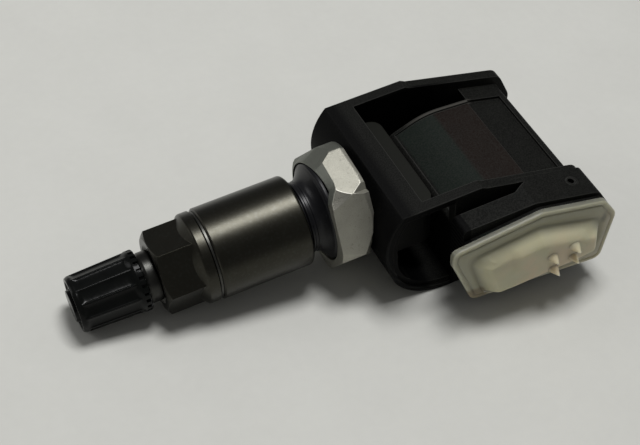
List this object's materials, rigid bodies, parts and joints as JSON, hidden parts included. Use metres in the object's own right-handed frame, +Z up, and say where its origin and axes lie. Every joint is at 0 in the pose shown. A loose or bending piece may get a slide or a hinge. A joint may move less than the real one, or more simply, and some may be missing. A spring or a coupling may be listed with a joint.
{
  "type": "tyre pressure sensor",
  "caption": "Tyre pressure sensor: a screw-in metal valve with cap, hexagonal nut and spacer sleeve, and a black housing with a translucent end cover that swings on the valve.",
  "frame": {"origin": "on the valve axis, in the plane where the grommet's neck meets the inside of the wheel rim", "axes": "+X along the valve axis from the rim plane towards the housing, so that the valve points along -X; +Z up out of the housing's open recess; the end cover faces -Y"},
  "size_m": [0.0848, 0.0377, 0.0234],
  "materials": {
    "cap_plastic": "gloss moulded",
    "black_rubber": "smooth",
    "anodised_aluminium": "satin dark olive anodised",
    "core_brass": "turned",
    "core_rubber": "moulded",
    "spring_steel": "drawn wire",
    "bright_washer": "bright",
    "blasted_aluminium": "blasted",
    "housing_plastic": "glass-filled satin",
    "cover_plastic": "milky translucent",
    "board_laminate": "solder mask",
    "cell_can": "drawn",
    "tab_nickel": "stamped",
    "chip_plastic": "moulded",
    "coil_ferrite": "wound",
    "capacitor_ceramic": "fired"
  },
  "bodies": {
    "valve": {"valve_stem": "anodised_aluminium", "grommet": "black_rubber", "hex_collar": "blasted_aluminium", "saddle_bar": "anodised_aluminium", "core_body": "core_brass", "core_barrel_seal": "core_rubber", "core_spring": "spring_steel"},
    "housing": {"housing": "housing_plastic", "end_cover": "cover_plastic", "circuit_board": "board_laminate", "coin_cell": "cell_can", "cell_tab_top": "tab_nickel", "cell_tab_bottom": "tab_nickel", "pressure_sensor": "chip_plastic", "port_seal": "core_rubber", "controller_chip": "chip_plastic", "crystal": "cell_can", "antenna_coil": "coil_ferrite", "antenna_loop": "tab_nickel", "capacitors": "capacitor_ceramic"},
    "sleeve": {"spacer_sleeve": "anodised_aluminium"},
    "washer": {"nut_washer": "bright_washer"},
    "nut": {"flange_nut": "anodised_aluminium"},
    "cap_seal": {"cap_seal": "black_rubber"},
    "cap": {"valve_cap": "cap_plastic"},
    "pin": {"core_pin": "core_brass", "core_cup": "black_rubber"}
  },
  "joints": [
    {"name": "housing_swing", "type": "hinge", "parent": "valve", "child": "housing", "pos_m": [0.0182, 0, 0], "axis": [0, 1, 0], "range_deg": [-12, 12]},
    {"name": "sleeve_spin", "type": "hinge", "parent": "valve", "child": "sleeve", "pos_m": [-0.009, 0, 0], "axis": [1, 0, 0], "continuous": true},
    {"name": "nut_travel", "type": "slide", "parent": "valve", "child": "washer", "axis": [1, 0, 0], "range_m": [-0.0019, 0]},
    {"name": "nut_turn", "type": "hinge", "parent": "washer", "child": "nut", "pos_m": [-0.022, 0, 0], "axis": [1, 0, 0], "range_deg": [-720, 10]},
    {"name": "cap_travel", "type": "slide", "parent": "valve", "child": "cap_seal", "axis": [1, 0, 0], "range_m": [-0.0048, 0]},
    {"name": "cap_turn", "type": "hinge", "parent": "cap_seal", "child": "cap", "pos_m": [-0.034, 0, 0], "axis": [1, 0, 0], "range_deg": [-2300, 10]},
    {"name": "pin_press", "type": "slide", "parent": "valve", "child": "pin", "axis": [1, 0, 0], "range_m": [0, 0.0012], "stiffness_N_per_m": 1500, "springref_m": -0.002, "deforming": ["core_spring"]}
  ],
  "couplings": [
    {"joint": "nut_turn", "follows": "nut_travel", "rad_per_m": 6283.2},
    {"joint": "cap_turn", "follows": "cap_travel", "rad_per_m": 7913.4}
  ]
}
